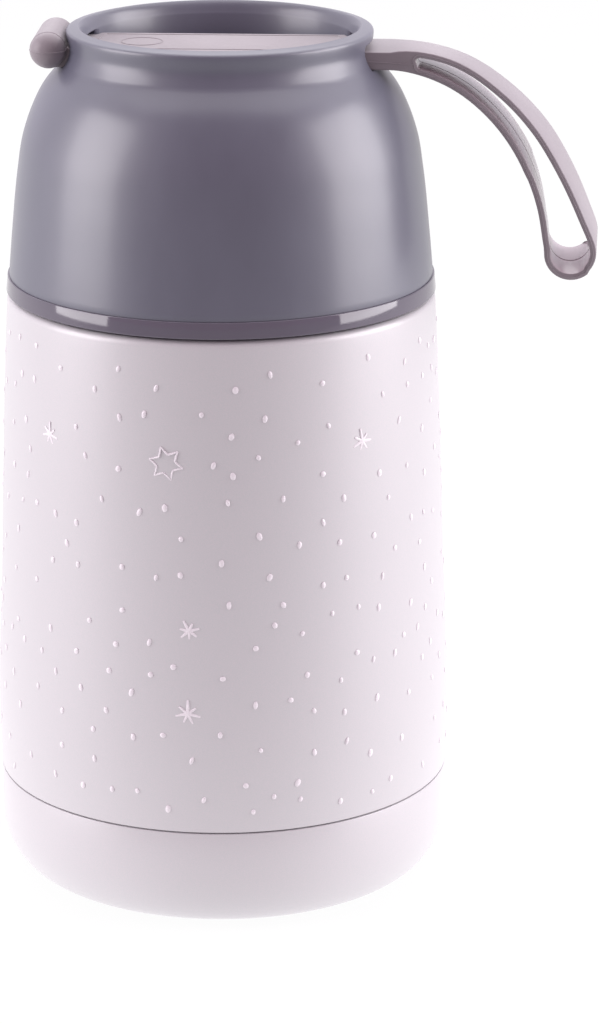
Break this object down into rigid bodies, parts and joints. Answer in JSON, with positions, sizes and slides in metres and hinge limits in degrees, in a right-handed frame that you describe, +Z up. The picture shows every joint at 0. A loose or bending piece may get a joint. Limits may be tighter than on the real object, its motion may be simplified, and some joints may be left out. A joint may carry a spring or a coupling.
{
  "type": "insulated food jar",
  "caption": "Vacuum food jar: steel double-wall flask, screw-in vented stopper, and a screw-on cup lid with a foot ring that carries a silicone carrying strap.",
  "frame": {"origin": "centre of the flat base that the jar stands on, on the jar's axis", "axes": "+Z up along the jar's axis; +X towards the strap's loop; +Y to complete a right-handed frame"},
  "size_m": [0.1339, 0.102, 0.1913],
  "materials": {
    "pearl_paint": "satin",
    "brushed_steel": "satin",
    "braze": "satin",
    "foil": "polished",
    "getter_metal": "matte",
    "gloss_grey": "gloss",
    "slate_plastic": "satin",
    "grey_silicone": "matte",
    "stopper_plastic": "satin",
    "button_plastic": "satin",
    "foam": "matte",
    "clear_silicone": "satin",
    "spring_steel": "polished"
  },
  "bodies": {
    "jar": {"outer_shell": "pearl_paint", "base_cap": "pearl_paint", "inner_vessel": "brushed_steel", "vacuum_bottom": "brushed_steel", "seal_off_bead": "braze", "radiation_foil": "foil", "getter": "getter_metal", "getter_clip": "brushed_steel"},
    "gasket": {"stopper_gasket": "clear_silicone"},
    "stopper": {"stopper_plug": "stopper_plastic", "stopper_cap": "stopper_plastic", "stopper_insulation": "foam", "vent_spring": "spring_steel"},
    "vent": {"vent_button": "button_plastic", "vent_stem": "stopper_plastic", "vent_seal": "clear_silicone"},
    "band": {"lip_ring": "gloss_grey"},
    "cup": {"cup": "slate_plastic", "strap": "grey_silicone"},
    "loop": {"strap_loop": "grey_silicone"}
  },
  "joints": [
    {"name": "stopper_rise", "type": "slide", "parent": "jar", "child": "gasket", "axis": [0, 0, 1], "range_m": [0, 0.0481]},
    {"name": "stopper_turn", "type": "hinge", "parent": "gasket", "child": "stopper", "pos_m": [0, 0, 0.15], "axis": [0, 0, 1], "range_deg": [0, 720]},
    {"name": "vent_press", "type": "slide", "parent": "stopper", "child": "vent", "axis": [0, 0, -1], "range_m": [0, 0.002], "stiffness_N_per_m": 400, "springref_m": -0.002, "deforming": ["vent_spring"]},
    {"name": "cup_rise", "type": "slide", "parent": "stopper", "child": "band", "axis": [0, 0, 1], "range_m": [0, 0.0601]},
    {"name": "cup_turn", "type": "hinge", "parent": "band", "child": "cup", "pos_m": [0, 0, 0.16], "axis": [0, 0, 1], "range_deg": [0, 900]},
    {"name": "strap_flex", "type": "hinge", "parent": "cup", "child": "loop", "pos_m": [0.0372, 0, 0.18565], "axis": [0, -1, 0], "range_deg": [-20, 45], "stiffness_Nm_per_rad": 0.06}
  ],
  "couplings": [
    {"joint": "stopper_rise", "follows": "stopper_turn", "m_per_rad": 0.0038197},
    {"joint": "cup_rise", "follows": "cup_turn", "m_per_rad": 0.0038197}
  ]
}
